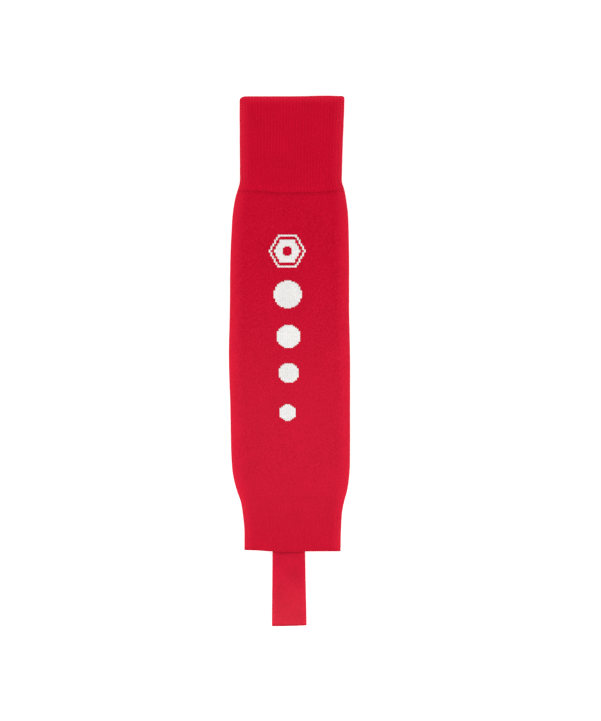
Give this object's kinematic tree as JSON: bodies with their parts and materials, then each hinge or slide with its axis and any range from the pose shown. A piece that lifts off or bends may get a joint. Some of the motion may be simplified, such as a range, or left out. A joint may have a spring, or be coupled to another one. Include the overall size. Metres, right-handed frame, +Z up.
{
  "type": "footless stirrup sock",
  "caption": "Knitted footless sports sock or limb sleeve, lying flat: doubled rib cuff, plain leg with white knitted dots, ribbed ankle and a stirrup strap that swings at the hem.",
  "frame": {"origin": "middle of the whole outline, on the surface that the sleeve lies on", "axes": "+Y along the sleeve, from the stirrup to the cuff; +X across it, to the right of someone looking at its front with the cuff at the top; +Z up, out of the front with the dots"},
  "size_m": [0.0931, 0.407, 0.012],
  "materials": {
    "plain_knit": "fine plain knit, slightly fuzzy",
    "rib_knit": "fine one-by-one rib knit",
    "strap_tape": "flat knitted elastic tape",
    "sewing_thread": "twisted polyester thread",
    "white_knit": "white yarn in plain knit",
    "elastic_thread": "covered elastic yarn"
  },
  "bodies": {
    "sleeve": {"cuff_outer": "rib_knit", "cuff_inner": "rib_knit", "cuff_elastic_threads": "elastic_thread", "leg_tube": "plain_knit", "ankle_rib": "rib_knit", "ankle_elastic_threads": "elastic_thread", "hem_overlock": "sewing_thread", "stirrup_flex": "strap_tape", "stirrup_front_tab": "strap_tape", "stirrup_back_tab": "strap_tape", "front_tab_stitching": "sewing_thread", "back_tab_stitching": "sewing_thread", "badge": "white_knit", "dot_large": "white_knit", "dot_medium": "white_knit", "dot_small": "white_knit", "dot_smallest": "white_knit", "pattern_yarn_floats": "white_knit"},
    "stirrup": {"stirrup_loop": "strap_tape"}
  },
  "joints": [
    {"name": "stirrup_swing", "type": "hinge", "parent": "sleeve", "child": "stirrup", "pos_m": [0, -0.153, 0.0055], "axis": [-1, 0, 0], "range_deg": [-90, 90], "deforming": ["stirrup_flex"]}
  ]
}
